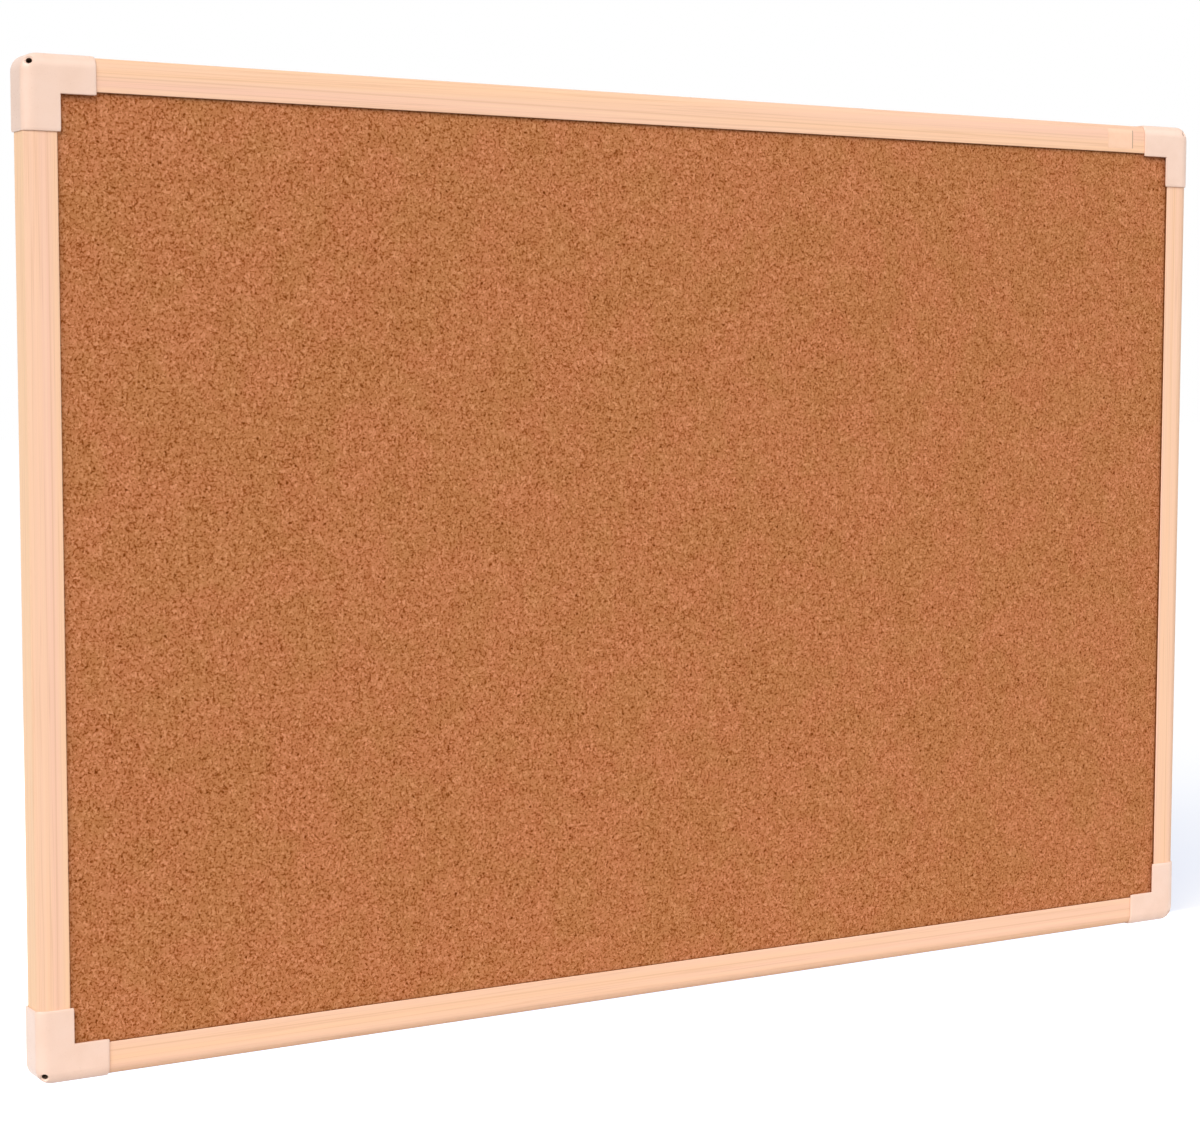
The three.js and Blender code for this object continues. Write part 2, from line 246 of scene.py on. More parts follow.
def wood_grain_foil():
    """Printed paper foil with a light straight grain, glued round a moulding and lacquered satin.

    To the eye: a pale warm wood colour with thin darker lines that run nearly the whole length of the
    rail, drift slowly and never cross it, one of them clearer than the rest. The outer round is painted
    a little darker, as painted shade, and the outer side paler, as painted light, all under a soft even
    sheen. The pattern lies on the foil's own map, across and along in metres, so it follows the rounds.
    A line is drawn where a slow noise is close to its middle value. The print's fibres are about 0.1 mm
    wide and are drawn several times as wide, so that they show.
    """
    band = (9 * MM, 900 * MM)  # across and along
    streak = (3 * MM, 500 * MM)
    fibre = (0.5 * MM, 60 * MM)
    slow_drift = (1000 * MM, 1600 * MM)
    relief = 0.05 * MM
    main_line = 2.5 * MM  # across, less what it drifts
    main_line_drift = 16 * MM
    main_line_core = 0.2 * MM
    main_line_edge = 0.7 * MM
    # Where the outer round gets painted shade, and where the outer side gets painted light
    round_middle = 5.5 * MM
    round_core = 1.5 * MM
    round_edge = 4.5 * MM
    side_start = 6.5 * MM
    side_full = 9 * MM
    material, tree, output = new_material("wood_grain_foil")
    place = add(tree, "ShaderNodeUVMap", uv_map="foil").outputs[0]

    def drawn_out(size, detail):
        """Noise that changes over that width across the rail and over that length along it."""
        width, length = size
        stretched = add(tree, "ShaderNodeMapping", {"Vector": place, "Scale": (1 / width, 1 / length, 1)})
        return add(tree, "ShaderNodeTexNoise",
                   {"Vector": stretched.outputs[0], "Scale": 1.0, "Detail": detail}).outputs[0]

    bands = drawn_out(band, 1)
    streaks = drawn_out(streak, 2)
    fibres = drawn_out(fibre, 3)
    drift = drawn_out(slow_drift, 0)
    across = add(tree, "ShaderNodeSeparateXYZ", {0: place}).outputs["X"]

    face = add(tree, "ShaderNodeValToRGB", {0: bands},
               stops=[(0.32, "#f7c8a1"), (0.5, "#f5c8a8"), (0.68, "#f4c5ab")])
    # Painted light: the outer side is painted paler than the front
    painted_side_light = add(tree, "ShaderNodeMapRange", {0: across, 1: side_start, 2: side_full, 3: 0.0, 4: 1.0},
                  interpolation_type="SMOOTHSTEP")
    ground = add(tree, "ShaderNodeMix", {0: painted_side_light.outputs[0], 6: face.outputs[0], 7: linear("#fdd1a9")},
                 data_type="RGBA")

    middle_value = 0.47
    from_middle = add(tree, "ShaderNodeMath", {0: streaks, 1: middle_value}, operation="SUBTRACT")
    off_line = add(tree, "ShaderNodeMath", {0: from_middle.outputs[0]}, operation="ABSOLUTE")
    line = add(tree, "ShaderNodeMapRange", {0: off_line.outputs[0], 1: 0.005, 2: 0.03, 3: 0.4, 4: 0.0})
    drifted = add(tree, "ShaderNodeMath", {0: drift, 1: main_line_drift, 2: across},
                  operation="MULTIPLY_ADD")
    from_main = add(tree, "ShaderNodeMath", {0: drifted.outputs[0], 1: main_line}, operation="SUBTRACT")
    off_main = add(tree, "ShaderNodeMath", {0: from_main.outputs[0]}, operation="ABSOLUTE")
    clearest = add(tree, "ShaderNodeMapRange",
                   {0: off_main.outputs[0], 1: main_line_core, 2: main_line_edge, 3: 0.5, 4: 0.0})
    darker = add(tree, "ShaderNodeMath", {0: line.outputs[0], 1: clearest.outputs[0]}, operation="MAXIMUM")
    lined = add(tree, "ShaderNodeMix", {0: darker.outputs[0], 6: ground.outputs[2], 7: linear("#e0af8c")},
                data_type="RGBA")
    pale = add(tree, "ShaderNodeMapRange", {0: streaks, 1: 0.56, 2: 0.68, 3: 0.0, 4: 0.3},
               interpolation_type="SMOOTHSTEP")
    paled = add(tree, "ShaderNodeMix", {0: pale.outputs[0], 6: lined.outputs[2], 7: linear("#fad2b1")},
                data_type="RGBA")

    fine = add(tree, "ShaderNodeMapRange", {0: fibres, 1: 0.35, 2: 0.65, 3: 0.98, 4: 1.02})
    # Painted shade: the outer round is painted up to 8 % darker
    from_round = add(tree, "ShaderNodeMath", {0: across, 1: round_middle}, operation="SUBTRACT")
    off_round = add(tree, "ShaderNodeMath", {0: from_round.outputs[0]}, operation="ABSOLUTE")
    painted_round_shade = add(tree, "ShaderNodeMapRange",
                     {0: off_round.outputs[0], 1: round_core, 2: round_edge, 3: 0.92, 4: 1.0},
                     interpolation_type="SMOOTHSTEP")
    fibres_and_round_shade = add(tree, "ShaderNodeMath", {0: fine.outputs[0], 1: painted_round_shade.outputs[0]},
                 operation="MULTIPLY")
    depth = fibres_and_round_shade.outputs[0]
    fibre_and_shade_grey = add(tree, "ShaderNodeCombineColor", {0: depth, 1: depth, 2: depth})
    colour = add(tree, "ShaderNodeMix", {0: 1.0, 6: paled.outputs[2], 7: fibre_and_shade_grey.outputs[0]},
                 data_type="RGBA", blend_type="MULTIPLY")

    gloss = add(tree, "ShaderNodeMapRange", {0: fibres, 1: 0.3, 2: 0.7, 3: 0.48, 4: 0.60})
    bump = add(tree, "ShaderNodeBump", {"Strength": 0.12, "Distance": relief, "Height": fibres})
    shader = add(tree, "ShaderNodeBsdfPrincipled", {
        "Base Color": colour.outputs[2],
        "Roughness": gloss.outputs[0],
        "IOR": 1.46,
        "Specular IOR Level": 0.3,
        "Normal": bump.outputs[0],
    })
    tree.links.new(shader.outputs[0], output.inputs[0])
    return material


def raw_fibreboard():
    """Medium density fibreboard, machined and left bare.

    To the eye: an even dull brown with a fine felt of paler and darker fibres, fully matt. The fibres
    are about 0.2 mm wide and are drawn several times as coarse, so that they show.
    """
    fibre = 1.2 * MM
    relief = 0.1 * MM
    material, tree, output = new_material("raw_fibreboard")
    place = add(tree, "ShaderNodeTexCoord").outputs["Object"]
    felt = add(tree, "ShaderNodeTexNoise", {"Vector": place, "Scale": 1 / fibre, "Detail": 5})
    colour = add(tree, "ShaderNodeValToRGB", {0: felt.outputs[0]},
                 stops=[(0.3, "#93704a"), (0.5, "#a98559"), (0.72, "#bd9b70")])
    bump = add(tree, "ShaderNodeBump", {"Strength": 0.4, "Distance": relief, "Height": felt.outputs[0]})
    shader = add(tree, "ShaderNodeBsdfPrincipled", {
        "Base Color": colour.outputs[0], "Roughness": 0.9, "IOR": 1.4, "Normal": bump.outputs[0],
    })
    tree.links.new(shader.outputs[0], output.inputs[0])
    return material


def painted_lip_shade():
    """Fibreboard's machined edge where the foil stops, painted a dark warm brown as painted shade on the
    lip's inner face beside the cork.

    To the eye: a dark warm brown, a little uneven, quite matt.
    """
    fibre = 1.6 * MM
    material, tree, output = new_material("painted_lip_shade")
    place = add(tree, "ShaderNodeTexCoord").outputs["Object"]
    felt = add(tree, "ShaderNodeTexNoise", {"Vector": place, "Scale": 1 / fibre, "Detail": 4})
    colour = add(tree, "ShaderNodeValToRGB", {0: felt.outputs[0]},
                 stops=[(0.3, "#5c3010"), (0.5, "#74421c"), (0.72, "#8a5428")])
    shader = add(tree, "ShaderNodeBsdfPrincipled", {
        "Base Color": colour.outputs[0], "Roughness": 0.95, "IOR": 1.3, "Specular IOR Level": 0.2,
    })
    tree.links.new(shader.outputs[0], output.inputs[0])
    return material


def moulded_polystyrene():
    """High impact polystyrene, injection moulded in a tool with a fine satin texture.

    To the eye: a pale pinkish cream, almost even, with a fine stipple and a soft gloss that is clear
    on the rounds and broad on the flats. A real tool's stipple is about 0.2 mm and wouldn't show, so
    it is drawn several times as coarse.
    """
    flow_mark = 14 * MM
    stipple_size = 0.9 * MM
    relief = 0.02 * MM
    material, tree, output = new_material("moulded_polystyrene")
    place = add(tree, "ShaderNodeTexCoord").outputs["Object"]
    flow = add(tree, "ShaderNodeTexNoise", {"Vector": place, "Scale": 1 / flow_mark, "Detail": 2})
    colour = add(tree, "ShaderNodeValToRGB", {0: flow.outputs[0]},
                 stops=[(0.3, "#ebc8b3"), (0.5, "#eeccb8"), (0.7, "#efcebb")])
    stipple = add(tree, "ShaderNodeTexNoise", {"Vector": place, "Scale": 1 / stipple_size, "Detail": 2})
    gloss = add(tree, "ShaderNodeMapRange", {0: stipple.outputs[0], 1: 0.3, 2: 0.7, 3: 0.27, 4: 0.35})
    bump = add(tree, "ShaderNodeBump", {"Strength": 0.15, "Distance": relief, "Height": stipple.outputs[0]})
    shader = add(tree, "ShaderNodeBsdfPrincipled", {
        "Base Color": colour.outputs[0],
        "Roughness": gloss.outputs[0],
        "IOR": 1.59,
        "Normal": bump.outputs[0],
    })
    tree.links.new(shader.outputs[0], output.inputs[0])
    return material


def painted_tunnel_shade():
    """The caps' plastic inside the wall screws' tunnels, left rough by the core pin, painted a dark brown
    as the shade inside the deep tunnel.

    To the eye: a dull dark brown, painted shade for a hole so deep that hardly any light comes back out.
    """
    fleck = 0.7 * MM
    material, tree, output = new_material("painted_tunnel_shade")
    place = add(tree, "ShaderNodeTexCoord").outputs["Object"]
    shade_mottle = add(tree, "ShaderNodeTexNoise", {"Vector": place, "Scale": 1 / fleck, "Detail": 2})
    colour = add(tree, "ShaderNodeValToRGB", {0: shade_mottle.outputs[0]},
                 stops=[(0.3, "#5a463a"), (0.7, "#74604f")])
    shader = add(tree, "ShaderNodeBsdfPrincipled", {
        "Base Color": colour.outputs[0], "Roughness": 0.9, "IOR": 1.4, "Specular IOR Level": 0.2,
    })
    tree.links.new(shader.outputs[0], output.inputs[0])
    return material


def brown_kraft_board():
    """Thin board of unbleached kraft pulp, calendered.

    To the eye: a warm grey brown with long pale and dark fibres lying mostly one way, faint cloudy
    patches where the pulp was thicker, and no gloss. The fibres are under 0.1 mm wide and are drawn
    many times as coarse, so that they show.
    """
    fibre = 1.5 * MM
    lengthways = 0.35  # how much slower the fibres change along than across
    cloud = 45 * MM
    relief = 0.06 * MM
    material, tree, output = new_material("brown_kraft_board")
    place = add(tree, "ShaderNodeTexCoord").outputs["Object"]
    laid = add(tree, "ShaderNodeMapping", {"Vector": place, "Scale": (lengthways, 1, 1)})
    fibres = add(tree, "ShaderNodeTexNoise",
                 {"Vector": laid.outputs[0], "Scale": 1 / fibre, "Detail": 6, "Roughness": 0.7})
    clouds = add(tree, "ShaderNodeTexNoise", {"Vector": place, "Scale": 1 / cloud, "Detail": 4})
    fibre_colour = add(tree, "ShaderNodeValToRGB", {0: fibres.outputs[0]},
                       stops=[(0.28, "#8f6f4a"), (0.5, "#ae8b61"), (0.74, "#c8a67c")])
    cloud_shade = add(tree, "ShaderNodeValToRGB", {0: clouds.outputs[0]},
                      stops=[(0.3, "#ebe6df"), (0.7, "#ffffff")])
    colour = add(tree, "ShaderNodeMix", {0: 1.0, 6: fibre_colour.outputs[0], 7: cloud_shade.outputs[0]},
                 data_type="RGBA", blend_type="MULTIPLY")
    bump = add(tree, "ShaderNodeBump", {"Strength": 0.35, "Distance": relief, "Height": fibres.outputs[0]})
    shader = add(tree, "ShaderNodeBsdfPrincipled", {
        "Base Color": colour.outputs[2], "Roughness": 0.85, "IOR": 1.45, "Normal": bump.outputs[0],
    })
    tree.links.new(shader.outputs[0], output.inputs[0])
    return material


def pressed_softboard():
    """Wood fibres pressed wet into a light board and left raw.

    To the eye: a loose pale brown felt of coarse fibres, fully matt.
    """
    fibre = 2 * MM
    relief = 0.3 * MM
    material, tree, output = new_material("pressed_softboard")
    place = add(tree, "ShaderNodeTexCoord").outputs["Object"]
    felt = add(tree, "ShaderNodeTexNoise",
               {"Vector": place, "Scale": 1 / fibre, "Detail": 6, "Roughness": 0.7})
    colour = add(tree, "ShaderNodeValToRGB", {0: felt.outputs[0]},
                 stops=[(0.3, "#86704f"), (0.5, "#a08a6c"), (0.75, "#bba98c")])
    bump = add(tree, "ShaderNodeBump", {"Strength": 0.7, "Distance": relief, "Height": felt.outputs[0]})
    shader = add(tree, "ShaderNodeBsdfPrincipled", {
        "Base Color": colour.outputs[0], "Roughness": 1.0, "IOR": 1.4, "Normal": bump.outputs[0],
    })
    tree.links.new(shader.outputs[0], output.inputs[0])
    return material


def zinc_plated_steel():
    """Cold headed steel with a bright zinc plate.

    To the eye: a bluish grey metal, softly mottled and slightly uneven in its gloss.
    """
    blotch = 0.8 * MM
    material, tree, output = new_material("zinc_plated_steel")
    place = add(tree, "ShaderNodeTexCoord").outputs["Object"]
    mottle = add(tree, "ShaderNodeTexNoise", {"Vector": place, "Scale": 1 / blotch, "Detail": 3})
    colour = add(tree, "ShaderNodeValToRGB", {0: mottle.outputs[0]},
                 stops=[(0.3, "#b9bdc2"), (0.5, "#c8ccd0"), (0.7, "#d2d2cd")])
    gloss = add(tree, "ShaderNodeMapRange", {0: mottle.outputs[0], 1: 0.3, 2: 0.7, 3: 0.24, 4: 0.4})
    shader = add(tree, "ShaderNodeBsdfPrincipled", {
        "Base Color": colour.outputs[0], "Roughness": gloss.outputs[0], "Metallic": 1.0,
    })
    tree.links.new(shader.outputs[0], output.inputs[0])
    return material


def label_film():
    """Polypropylene label film with nothing printed on it.

    To the eye: a smooth, slightly paler patch than the rail that it sticks to, with a faint ripple and
    a thin dark line along its right edge.
    """
    wave = 5 * MM
    relief = 0.05 * MM
    material, tree, output = new_material("label_film")
    place = add(tree, "ShaderNodeTexCoord").outputs["Object"]
    ripple = add(tree, "ShaderNodeTexNoise", {"Vector": place, "Scale": 1 / wave, "Detail": 2})
    colour = add(tree, "ShaderNodeValToRGB", {0: ripple.outputs[0]},
                 stops=[(0.3, "#f4c5a4"), (0.7, "#f7caab")])
    along = add(tree, "ShaderNodeSeparateXYZ", {0: place}).outputs["X"]
    # The film is darkened along its right edge, in a thin line
    dark_line = add(tree, "ShaderNodeMapRange",
               {0: along, 1: label_right - label_dark_line, 2: label_right, 3: 0.0, 4: 1.0})
    darkened = add(tree, "ShaderNodeMix", {0: dark_line.outputs[0], 6: colour.outputs[0], 7: linear("#3e2a20")},
                 data_type="RGBA")
    bump = add(tree, "ShaderNodeBump", {"Strength": 0.1, "Distance": relief, "Height": ripple.outputs[0]})
    shader = add(tree, "ShaderNodeBsdfPrincipled", {
        "Base Color": darkened.outputs[2], "Roughness": 0.4, "IOR": 1.49, "Normal": bump.outputs[0],
    })
    tree.links.new(shader.outputs[0], output.inputs[0])
    return material


def rounded_outline(corners, steps):
    """Points of an outline whose corners are (inwards, out, round, drop), the last two if it has them.

    A corner with a round becomes an arc that touches both of its sides, as wide as the round and as
    high as the drop, or as the round where no drop is given. It is worked out as a circle's arc and
    then squashed along the second axis. The circle's centre lies on the line that halves the corner,
    and the arc's points turn evenly from one side's direction to the other's.
    """
    places = np.array([corner[:2] for corner in corners], float)
    rows = []
    for i, (corner, (_, _, *rounds)) in enumerate(zip(places, corners)):
        if not rounds:
            rows.append([corner])
            continue
        radius = rounds[0]
        squash = np.array((1, rounds[-1] / radius))
        before = (places[i - 1] - corner) / squash
        after = (places[(i + 1) % len(corners)] - corner) / squash
        before, after = before / np.linalg.norm(before), after / np.linalg.norm(after)
        half = math.acos(before @ after) / 2
        centre = (before + after) / np.linalg.norm(before + after) * radius / math.sin(half)
        start = before * radius / math.tan(half) - centre
        turn = (math.pi - 2 * half) * np.sign(after[0] * before[1] - after[1] * before[0])
        angle = turn * np.linspace(0, 1, steps + 1)
        arc = centre + np.stack([
            start[0] * np.cos(angle) - start[1] * np.sin(angle),
            start[0] * np.sin(angle) + start[1] * np.cos(angle),
        ], -1)
        rows.append(corner + arc * squash)
    return np.concatenate(rows)


def grid_mesh(name, points, materials, around=False, ends=False, across=None, along=None, kinds=None):
    """A grid of points, rows by columns, as a mesh of four-sided faces.

    Each face goes along the columns and then up a row. If around, the last column joins the first,
    and if ends, the first and last rows are closed. Across and along are the map's two distances
    for each column and row, and kinds the number of the material for each column. Where kinds are
    given, the closed ends take the second material.
    """
    rows, columns = points.shape[:2]
    i, j = np.meshgrid(np.arange(rows - 1), np.arange(columns - (not around)), indexing="ij")
    after = (j + 1) % columns
    row, next_row = i * columns, (i + 1) * columns
    faces = np.stack([row + j, row + after, next_row + after, next_row + j], -1).reshape(-1, 4).tolist()
    if ends:
        faces += [list(range(columns))[::-1], list(range((rows - 1) * columns, rows * columns))]
    mesh = bpy.data.meshes.new(name)
    mesh.from_pydata(points.reshape(-1, 3).tolist(), [], faces)
    for material in materials:
        mesh.materials.append(material)
    if across is not None:
        u = np.stack([across[j], across[j + 1], across[j + 1], across[j]], -1)
        v = np.stack([along[i], along[i], along[i + 1], along[i + 1]], -1)
        corners = np.zeros((len(mesh.loops), 2))
        corners[:u.size] = np.stack([u.ravel(), v.ravel()], -1)
        mesh.uv_layers.new(name="foil").data.foreach_set("uv", corners.ravel())
    if kinds is not None:
        numbers = np.full(len(mesh.polygons), 1)
        numbers[:j.size] = np.asarray(kinds)[j].ravel()
        mesh.polygons.foreach_set("material_index", numbers)
    return mesh


def shown(mesh, name, replaced=None, crease=30):
    """Puts a mesh in the scene as a piece that rides on the board.

    It is shaded smooth but for edges that turn by more than the crease, in degrees.
    """
    mesh.shade_smooth()
    mesh.set_sharp_from_angle(angle=math.radians(crease))
    piece = bpy.data.objects.new(name, mesh)
    bpy.context.scene.collection.objects.link(piece)
    modifier = piece.modifiers.new("flat faces stay flat", "WEIGHTED_NORMAL")
    modifier.keep_sharp = True
    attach(piece, "root")
    if replaced:
        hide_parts(replaced)


def rail_side(node):
    """A rail's place, its inward and its long direction, and its length.

    The place is where its outer face meets the wall, halfway along.
    """
    low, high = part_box(node)
    middle = (low + high) / 2
    if high.x - low.x > high.z - low.z:
        inward = Vector((0, 0, -math.copysign(1, middle.z)))
        length = high.x - low.x
    else:
        inward = Vector((-math.copysign(1, middle.x), 0, 0))
        length = high.z - low.z
    place = middle - inward * rail_face / 2
    place.y = 0
    return place, inward, inward.cross(Vector((0, -1, 0))), length


def wrapped_rail(node, number, foil, core, lip_shade):
    """A rail as a fibreboard moulding with foil round its faces, and painted shade on its lip where it
    meets the cork.

    Its section is the solid's, with finer rounds and with the bare back strip a foil's thickness
    lower, and is carried along the rail. A face is bare, painted with the lip's shade or foiled by
    where its middle lies in the section. The map's across is the distance round the section, less
    than zero on the flat front and more on its outer round.
    """
    groove_front = -cork_low.y + groove_play
    groove_back = -backing_high.y - groove_play
    bare = rail_back + foil_thickness
    corners = [
        (0, rail_back, rail_edge_round),
        (foil_lap_outside, rail_back),
        (foil_lap_outside, bare),
        (rail_face - foil_lap_inside, bare),
        (rail_face - foil_lap_inside, rail_back),
        (rail_face, rail_back, rail_edge_round),
        (rail_face, groove_back, lip_edge_round),
        (rail_face - groove_depth, groove_back),
        (rail_face - groove_depth, groove_front),
        (rail_face, groove_front, lip_edge_round),
        (rail_face, rail_front, rail_edge_round),
        (0, rail_front, rail_front_round, rail_front_drop),
    ]
    steps = 12
    section = rounded_outline(corners, steps)
    ahead = np.roll(section, -1, axis=0)
    inwards, height = ((section + ahead) / 2).T
    between_laps = (inwards > foil_lap_outside) & (inwards < rail_face - foil_lap_inside)
    on_back = between_laps & (height < rail_back + 2 * foil_thickness)
    rounding = 0.001 * MM
    inside = (height > groove_back - rounding) & (height < groove_front + rounding)
    in_groove = inside & (inwards > foil_lap_outside) & (inwards < rail_face - lip_reach)
    on_lip = (inwards >= rail_face - lip_reach) & (height > groove_front - rounding) & (
        height < rail_front - lip_shade_short * rail_edge_round)
    # Material 1 is bare fibreboard, material 2 the lip's painted shade, a dark brown standing in for the
    # shade beside the cork
    kinds = np.select([on_back | in_groove, on_lip], [1, 2], 0)

    place, inward, direction, length = rail_side(node)
    stations = np.linspace(-length / 2, length / 2, 2)
    points = (
        np.array(place)
        + section[None, :, :1] * np.array(inward)
        + section[None, :, 1:] * np.array((0, -1, 0))
        + stations[:, None, None] * np.array(direction)
    )
    across = np.concatenate([[0], np.cumsum(np.linalg.norm(ahead - section, axis=1))])
    across -= across[len(section) - 1 - steps]
    along = stations + number * foil_step
    mesh = grid_mesh(f"wrapped_{node}", points, [foil, core, lip_shade], around=True, ends=True,
                     across=across, along=along, kinds=kinds)
    shown(mesh, f"wrapped_{node}", node)


def moulded_cap(node, plastic, darkened):
    """The solid's own shape, with its loose triangles joined so that its rounds read as one surface.

    A face belongs to the tunnel where its middle lies no further from the tunnel's axis than the
    radius and a little play.
    """
    join_distance = 0.002 * MM
    low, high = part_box(node)
    x = max(low.x, high.x, key=abs)
    z = max(low.z, high.z, key=abs)
    inwards = Vector((-math.copysign(1, x), 0, -math.copysign(1, z)))
    mouth = Vector((x, -tunnel_mouth_height, z)) + tunnel_mouth * inwards
    axis = (Vector((x, 0, z)) + tunnel_end * inwards - mouth).normalized()
    cap = bmesh.new()
    cap.from_mesh(nodes[node].data)
    bmesh.ops.remove_doubles(cap, verts=cap.verts, dist=join_distance)
    for face in cap.faces:
        off = face.calc_center_median() - mouth
        from_axis = (off - off.dot(axis) * axis).length
        # Faces in the tunnel take the second material, the tunnel's painted shade
        face.material_index = int(from_axis < tunnel_radius + tunnel_radius_play)
    mesh = bpy.data.meshes.new(f"moulded_{node}")
    mesh.materials.append(plastic)
    mesh.materials.append(darkened)
    cap.to_mesh(mesh)
    cap.free()
    # The normals that come with the loose triangles don't fit the joined ones
    mesh.attributes.remove(mesh.attributes["custom_normal"])
    shown(mesh, f"moulded_{node}", node)


def cap_screw(node, steel):
    """A countersunk screw with a cross drive and a rolled thread, its head towards the wall.

    Each row is a ring round the screw. The head's face sinks where a point lies inside one of two
    crossed bars, more the deeper inside, down to the drive's depth. Further in, the radius swings
    between core and crest as a triangle wave of turns less pitches, fading out at both ends.
    """
    face_rings, ring_points, rings_per_pitch = 16, 36, 8
    middle_share = 0.04  # of the head's radius, where the first ring lies
    end_gap = 0.05 * MM
    low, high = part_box(node)
    length = high.y - low.y
    thread_start = screw_head_height + screw_smooth_length
    face = np.linspace(middle_share, 1, face_rings) * screw_head_radius
    body = np.arange(screw_head_height, length - end_gap, screw_pitch / rings_per_pitch)
    radius = np.concatenate([face, np.full(len(body), screw_core_radius)])
    depth = np.concatenate([np.zeros(len(face)), body])
    turn = np.linspace(0, 2 * math.pi, ring_points, endpoint=False)
    radius = np.repeat(radius[:, None], ring_points, 1)
    depth = np.repeat(depth[:, None], ring_points, 1)

    across, up = np.abs(radius * np.cos(turn)), np.abs(radius * np.sin(turn))
    long, short = drive_wing_length / 2, drive_wing_width / 2
    inside = np.maximum(
        np.minimum(long - across, short - up),
        np.minimum(short - across, long - up),
    )
    sunk = drive_depth * np.clip(inside / drive_wall_run, 0, 1)
    on_face = np.arange(len(radius)) < len(face)
    wave = np.abs(((turn / (2 * math.pi) - depth / screw_pitch) % 1) * 2 - 1)
    fade = np.clip((depth - thread_start) / screw_pitch, 0, 1)
    point = np.clip((length - depth) / screw_point_length, 0, 1)
    threaded = (screw_core_radius + (screw_crest_radius - screw_core_radius) * wave * fade) * point
    radius = np.where(on_face[:, None], radius, np.maximum(threaded, screw_tip_radius))
    depth = np.where(on_face[:, None], sunk, depth)

    centre = (low + high) / 2
    points = np.stack([
        centre.x + radius * np.cos(turn),
        high.y - depth,
        centre.z + radius * np.sin(turn),
    ], -1)
    mesh = grid_mesh(f"threaded_{node}", points, [steel], around=True, ends=True)
    shown(mesh, f"threaded_{node}", node, crease=40)


def blank_label(film):
    """A thin film on the top rail that follows the front and bends over its outer round.

    Across the rail a distance runs straight over the flat front and then round the front round, whose
    length up to each angle is summed in short steps. Near either end the film narrows by a quarter
    circle.
    """
    corner_stations, columns, short_steps = 7, 40, 200
    flat = rail_face - rail_front_round - label_near_inner
    corner = label_corner * (1 - np.cos(np.linspace(0, math.pi / 2, corner_stations)))
    ends = np.concatenate([corner, label_width - corner[::-1]])
    from_end = np.minimum(ends, label_width - ends)
    short = np.clip(label_corner - from_end, 0, None)
    narrowing = label_corner - np.sqrt(label_corner ** 2 - short ** 2)
    share = np.linspace(0, 1, columns)
    distance = narrowing[:, None] + (label_height - 2 * narrowing[:, None]) * share

    fine = np.linspace(0, math.pi / 2, short_steps)
    steps = np.hypot(rail_front_round * np.diff(np.sin(fine)), rail_front_drop * np.diff(np.cos(fine)))
    angle = np.interp(distance - flat, np.concatenate([[0], np.cumsum(steps)]), fine)
    on_round = rail_front_round * (1 - np.sin(angle))
    inward = np.where(distance < flat, rail_front_round + flat - distance, on_round)
    out = rail_front - rail_front_drop * (1 - np.cos(angle))
    lean = np.arctan2(rail_front_drop * np.sin(angle), rail_front_round * np.cos(angle))

    def lifted(height):
        """The film's surface at a height above the rail, square to it."""
        from_top = inward - height * np.sin(lean)
        from_wall = out + height * np.cos(lean)
        x = np.broadcast_to((label_right - label_width + ends)[:, None], from_top.shape)
        return np.stack([x, -from_wall, board_top - from_top], -1)

    points = np.concatenate([lifted(0.0), lifted(label_thickness)[:, ::-1]], 1)
    mesh = grid_mesh("blank_label", points, [film], around=True, ends=True)
    shown(mesh, "blank_label", crease=40)


def white_for_camera(tree, shader, white):
    """Shows the white shader to the camera and in reflections, and the other to every other ray."""
    path = add(tree, "ShaderNodeLightPath").outputs
    mirror = add(tree, "ShaderNodeMath", {0: path["Is Glossy Ray"], 1: path["Is Transmission Ray"]},
                 operation="MAXIMUM")
    seen = add(tree, "ShaderNodeMath", {0: path["Is Camera Ray"], 1: mirror.outputs[0]},
               operation="MAXIMUM")
    return add(tree, "ShaderNodeMixShader", {0: seen.outputs[0], 1: shader, 2: white})


def studio_world():
    """A soft even light from all round, which the camera sees as white."""
    world = bpy.data.worlds.new("studio")
    world.use_nodes = True
    tree = world.node_tree
    tree.nodes.clear()
    soft = add(tree, "ShaderNodeBackground", {"Color": (1, 1, 1, 1), "Strength": 0.25})
    white = add(tree, "ShaderNodeBackground", {"Color": (1, 1, 1, 1), "Strength": 1.0})
    mixed = white_for_camera(tree, soft.outputs[0], white.outputs[0])
    add(tree, "ShaderNodeOutputWorld", {0: mixed.outputs[0]})
    bpy.context.scene.world = world


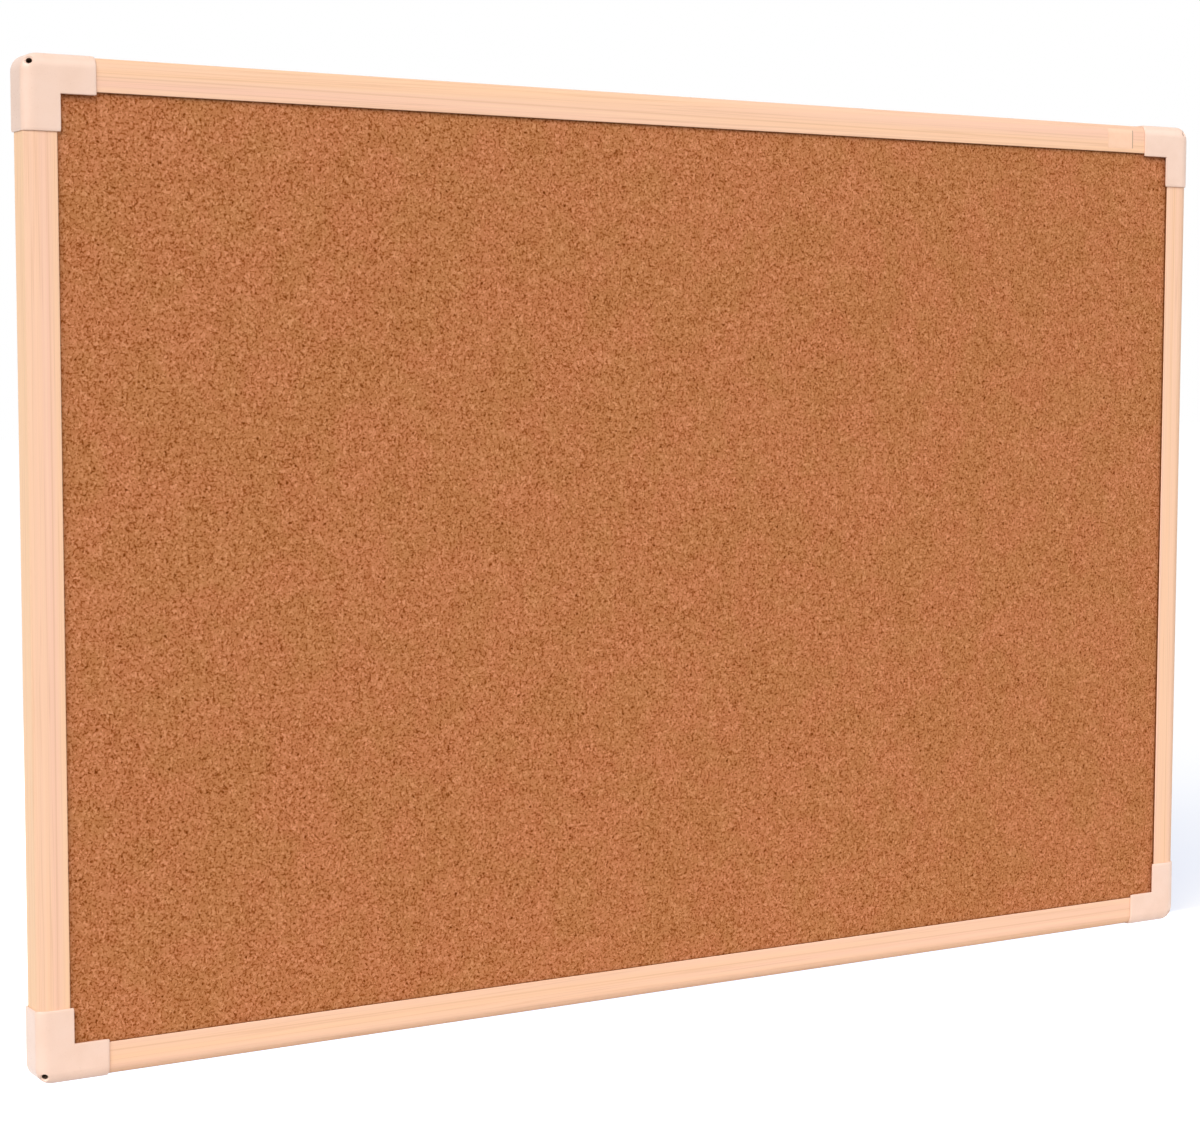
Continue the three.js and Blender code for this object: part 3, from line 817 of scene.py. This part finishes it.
def studio_floor():
    """A white sweep under the board.

    The camera sees a glow plus a part of the light that falls on it. Together they are over white
    where the lamps reach, and a faint cool grey in the board's shadow, as in the photograph. In front
    of the board and to its left, where the photograph is burnt out, a second glow is added. Where it
    fades out towards the right, the board hides it.
    """
    cool_glow = (0.40, 0.498, 0.753, 1)
    warm_share = (0.65, 0.55, 0.30, 1)  # of the light that falls on it
    material, tree, output = new_material("white_floor")
    paint = add(tree, "ShaderNodeBsdfDiffuse", {"Color": linear("#c4c4c4")})
    place = add(tree, "ShaderNodeTexCoord").outputs["Object"]
    axes = add(tree, "ShaderNodeSeparateXYZ", {0: place}).outputs
    before = add(tree, "ShaderNodeMapRange",
                 {0: axes["Y"], 1: burnt_before[0], 2: burnt_before[1], 3: burnt_glow, 4: 0.0},
                 interpolation_type="SMOOTHSTEP")
    beside = add(tree, "ShaderNodeMapRange",
                 {0: axes["X"], 1: burnt_beside[0], 2: burnt_beside[1], 3: burnt_glow, 4: 0.0})
    burnt = add(tree, "ShaderNodeMath", {0: before.outputs[0], 1: beside.outputs[0]},
                operation="MAXIMUM")
    burnt_out = add(tree, "ShaderNodeEmission", {"Color": (1, 1, 1, 1), "Strength": burnt.outputs[0]})
    glow = add(tree, "ShaderNodeEmission", {"Color": cool_glow, "Strength": 1.0})
    lit = add(tree, "ShaderNodeBsdfDiffuse", {"Color": warm_share})
    behind = add(tree, "ShaderNodeAddShader", {0: glow.outputs[0], 1: lit.outputs[0]})
    seen = add(tree, "ShaderNodeAddShader", {0: behind.outputs[0], 1: burnt_out.outputs[0]})
    mixed = white_for_camera(tree, paint.outputs[0], seen.outputs[0])
    tree.links.new(mixed.outputs[0], output.inputs[0])

    height = cad_box[0].z - floor_gap
    ways = ((-1, -1), (1, -1), (1, 1), (-1, 1))
    corners = [(x * floor_reach, y * floor_reach, height) for x, y in ways]
    mesh = bpy.data.meshes.new("floor")
    mesh.from_pydata(corners, [], [[0, 1, 2, 3]])
    mesh.materials.append(material)
    floor = bpy.data.objects.new("floor", mesh)
    bpy.context.scene.collection.objects.link(floor)


def sun(name, place, strength, spread):
    """A sun that shines from a place towards the board's middle, its spread in degrees."""
    data = bpy.data.lights.new(name, "SUN")
    data.energy = strength
    data.angle = math.radians(spread)
    light = bpy.data.objects.new(name, data)
    bpy.context.scene.collection.objects.link(light)
    light.location = place
    light.rotation_euler = (-Vector(place)).to_track_quat("-Z", "Y").to_euler()


def photograph_camera():
    """The camera stands where the perspective of the frame's edges puts it."""
    data = bpy.data.cameras.new("camera")
    data.sensor_width = sensor_width
    data.lens = sensor_width * focal_pixels / image_width
    data.clip_start = 0.05
    data.clip_end = 50
    camera = bpy.data.objects.new("camera", data)
    bpy.context.scene.collection.objects.link(camera)
    back = camera_right.cross(camera_up).normalized()
    up = back.cross(camera_right).normalized()
    turned = Matrix((camera_right, up, back)).transposed().to_4x4()
    camera.matrix_world = Matrix.Translation(camera_place) @ turned
    bpy.context.scene.camera = camera


# Materials, pieces and stage
cork = agglomerated_cork()
foil = wood_grain_foil()
fibreboard = raw_fibreboard()
# Painted shade for the rails' lips
lip_shade = painted_lip_shade()
plastic = moulded_polystyrene()
# Painted shade for the insides of the caps' tunnels
darkened = painted_tunnel_shade()
steel = zinc_plated_steel()

for node, material in (
    ("cork_sheet", cork),
    ("softboard_core", pressed_softboard()),
    ("backing_sheet", brown_kraft_board()),
):
    nodes[node].material_slots[0].material = material

for number, side in enumerate(("top", "bottom", "left", "right")):
    wrapped_rail(f"rail_{side}", number, foil, fibreboard, lip_shade)
for corner in ("top_left", "top_right", "bottom_left", "bottom_right"):
    moulded_cap(f"corner_cap_{corner}", plastic, darkened)
    for number in (1, 2):
        cap_screw(f"cap_screw_{corner}_{number}", steel)
blank_label(label_film())

studio_world()
studio_floor()
# The directions are worked out from the board's shadow on the floor and the tones of its faces
sun("left", (-2.2, -0.95, 1.75), 1.06, 25)
sun("main", (-1.4, -2.0, 1.7), 1.94, 40)
sun("right", (1.75, -2.08, 1.27), 0.66, 40)
# Almost level, so that it lights the back and leaves the floor as it is
sun("behind", (2.0, 3.0, 0.25), 2.3, 10)
photograph_camera()
bpy.context.scene.view_settings.view_transform = "Standard"
